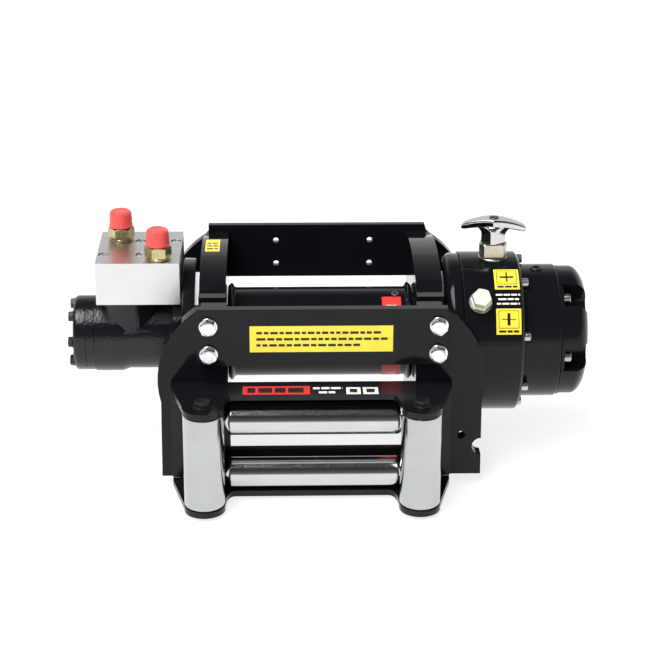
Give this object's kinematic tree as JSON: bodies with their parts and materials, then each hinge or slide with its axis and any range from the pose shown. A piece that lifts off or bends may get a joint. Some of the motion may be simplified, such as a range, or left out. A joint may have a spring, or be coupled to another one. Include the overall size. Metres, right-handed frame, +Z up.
{
  "type": "hydraulic recovery winch with orbital motor",
  "caption": "Hydraulic winch: orbital motor with valve block, rope drum between cast side frames, planetary gearbox with clutch handle, and a roller fairlead.",
  "frame": {"origin": "middle of the bounding box of the whole winch at rest", "axes": "+X along the drum axis from the motor to the gearbox, -Y towards the fairlead, +Z up"},
  "size_m": [0.6852, 0.3926, 0.326],
  "materials": {
    "painted_frame": "semi-gloss black paint on cast iron and steel plate",
    "cast_paint": "satin black paint over a sand-cast skin",
    "chrome_plate": "bright chrome plate, polished",
    "zinc_plate": "clear zinc plate, slightly dull",
    "milled_aluminium": "milled aluminium with fine tool lines",
    "yellow_zinc": "yellow zinc plate, faintly iridescent",
    "gear_steel": "machined gear steel, lightly oiled",
    "bearing_bronze": "plain bronze bearing metal",
    "cap_plastic": "soft coral-red polyethylene",
    "plug_plastic": "cream nylon, slightly glossy",
    "seal_rubber": "black nitrile rubber"
  },
  "bodies": {
    "root": {"left_side_frame": "painted_frame", "right_side_frame": "painted_frame", "front_tie_plate": "painted_frame", "rear_tie_plate": "painted_frame", "front_tie_bolt_left_1": "zinc_plate", "front_tie_bolt_left_2": "zinc_plate", "rear_tie_bolt_left_1": "zinc_plate", "rear_tie_bolt_left_2": "zinc_plate", "front_tie_bolt_right_1": "zinc_plate", "front_tie_bolt_right_2": "zinc_plate", "rear_tie_bolt_right_1": "zinc_plate", "rear_tie_bolt_right_2": "zinc_plate", "left_drum_bushing": "bearing_bronze", "right_drum_bushing": "bearing_bronze", "output_ring_gear": "gear_steel", "input_ring_gear": "gear_steel", "gearbox_adaptor": "painted_frame", "ring_housing": "painted_frame", "gear_case": "painted_frame", "gear_end_cover": "painted_frame", "oil_plug": "plug_plastic", "clutch_nut": "zinc_plate", "motor_mount_plate": "painted_frame", "motor_housing": "cast_paint", "motor_end_cover": "cast_paint", "gerotor_ring": "cast_paint", "gerotor_star": "gear_steel", "cardan_link": "gear_steel", "motor_shaft_seal": "seal_rubber", "valve_block": "milled_aluminium", "rear_port_fitting": "yellow_zinc", "rear_port_cap": "cap_plastic", "front_port_fitting": "yellow_zinc", "front_port_cap": "cap_plastic", "fairlead_bracket": "painted_frame", "left_upright_pin": "painted_frame", "right_upright_pin": "painted_frame", "upper_level_pin": "zinc_plate", "lower_level_pin": "zinc_plate"},
    "drum_body": {"drum": "painted_frame", "output_carrier": "gear_steel"},
    "output_planet_1_body": {"output_planet_1": "gear_steel"},
    "output_planet_2_body": {"output_planet_2": "gear_steel"},
    "output_planet_3_body": {"output_planet_3": "gear_steel"},
    "intermediate_body": {"intermediate_carrier": "gear_steel"},
    "input_planet_1_body": {"input_planet_1": "gear_steel"},
    "input_planet_2_body": {"input_planet_2": "gear_steel"},
    "input_planet_3_body": {"input_planet_3": "gear_steel"},
    "drive_body": {"drive_shaft": "gear_steel", "input_sun_gear": "gear_steel", "shaft_coupling": "gear_steel", "motor_shaft": "gear_steel"},
    "clutch_pin_body": {"clutch_pin": "gear_steel"},
    "clutch_handle_body": {"clutch_handle": "chrome_plate"},
    "left_upright_roller_body": {"left_upright_roller": "chrome_plate"},
    "right_upright_roller_body": {"right_upright_roller": "chrome_plate"},
    "upper_level_roller_body": {"upper_level_roller": "chrome_plate"},
    "lower_level_roller_body": {"lower_level_roller": "chrome_plate"}
  },
  "joints": [
    {"name": "drum_spin", "type": "hinge", "parent": "root", "child": "drum_body", "pos_m": [-0.01295, 0.0412, 0.00145], "axis": [1, 0, 0], "continuous": true},
    {"name": "output_planet_1_spin", "type": "hinge", "parent": "drum_body", "child": "output_planet_1_body", "pos_m": [0.20905, 0.0832, 0.00145], "axis": [1, 0, 0], "continuous": true},
    {"name": "output_planet_2_spin", "type": "hinge", "parent": "drum_body", "child": "output_planet_2_body", "pos_m": [0.20905, 0.0202, 0.03782], "axis": [1, 0, 0], "continuous": true},
    {"name": "output_planet_3_spin", "type": "hinge", "parent": "drum_body", "child": "output_planet_3_body", "pos_m": [0.20905, 0.0202, -0.03492], "axis": [1, 0, 0], "continuous": true},
    {"name": "intermediate_spin", "type": "hinge", "parent": "root", "child": "intermediate_body", "pos_m": [0.23905, 0.0412, 0.00145], "axis": [1, 0, 0], "continuous": true},
    {"name": "input_planet_1_spin", "type": "hinge", "parent": "intermediate_body", "child": "input_planet_1_body", "pos_m": [0.26605, 0.0832, 0.00145], "axis": [1, 0, 0], "continuous": true},
    {"name": "input_planet_2_spin", "type": "hinge", "parent": "intermediate_body", "child": "input_planet_2_body", "pos_m": [0.26605, 0.0202, 0.03782], "axis": [1, 0, 0], "continuous": true},
    {"name": "input_planet_3_spin", "type": "hinge", "parent": "intermediate_body", "child": "input_planet_3_body", "pos_m": [0.26605, 0.0202, -0.03492], "axis": [1, 0, 0], "continuous": true},
    {"name": "drive_spin", "type": "hinge", "parent": "root", "child": "drive_body", "pos_m": [0.06705, 0.0412, 0.00145], "axis": [1, 0, 0], "continuous": true},
    {"name": "clutch_lift", "type": "slide", "parent": "root", "child": "clutch_pin_body", "axis": [0, 0, 1], "range_m": [0, 0.012]},
    {"name": "clutch_turn", "type": "hinge", "parent": "clutch_pin_body", "child": "clutch_handle_body", "pos_m": [0.21855, 0.0412, 0.14145], "axis": [0, 0, 1], "range_deg": [0, 90]},
    {"name": "left_upright_roller_spin", "type": "hinge", "parent": "root", "child": "left_upright_roller_body", "pos_m": [-0.16445, -0.1698, -0.08605], "axis": [0, 0, 1], "continuous": true},
    {"name": "right_upright_roller_spin", "type": "hinge", "parent": "root", "child": "right_upright_roller_body", "pos_m": [0.11155, -0.1698, -0.08605], "axis": [0, 0, 1], "continuous": true},
    {"name": "upper_level_roller_spin", "type": "hinge", "parent": "root", "child": "upper_level_roller_body", "pos_m": [-0.0237, -0.1248, -0.05255], "axis": [1, 0, 0], "continuous": true},
    {"name": "lower_level_roller_spin", "type": "hinge", "parent": "root", "child": "lower_level_roller_body", "pos_m": [-0.0237, -0.1248, -0.12755], "axis": [1, 0, 0], "continuous": true}
  ],
  "couplings": [
    {"joint": "output_planet_1_spin", "follows": "drum_spin", "ratio": -2.75},
    {"joint": "output_planet_2_spin", "follows": "drum_spin", "ratio": -2.75},
    {"joint": "output_planet_3_spin", "follows": "drum_spin", "ratio": -2.75},
    {"joint": "intermediate_spin", "follows": "drum_spin", "ratio": 4.6667},
    {"joint": "input_planet_1_spin", "follows": "drum_spin", "ratio": -12.833},
    {"joint": "input_planet_2_spin", "follows": "drum_spin", "ratio": -12.833},
    {"joint": "input_planet_3_spin", "follows": "drum_spin", "ratio": -12.833},
    {"joint": "drive_spin", "follows": "drum_spin", "ratio": 21.778}
  ]
}
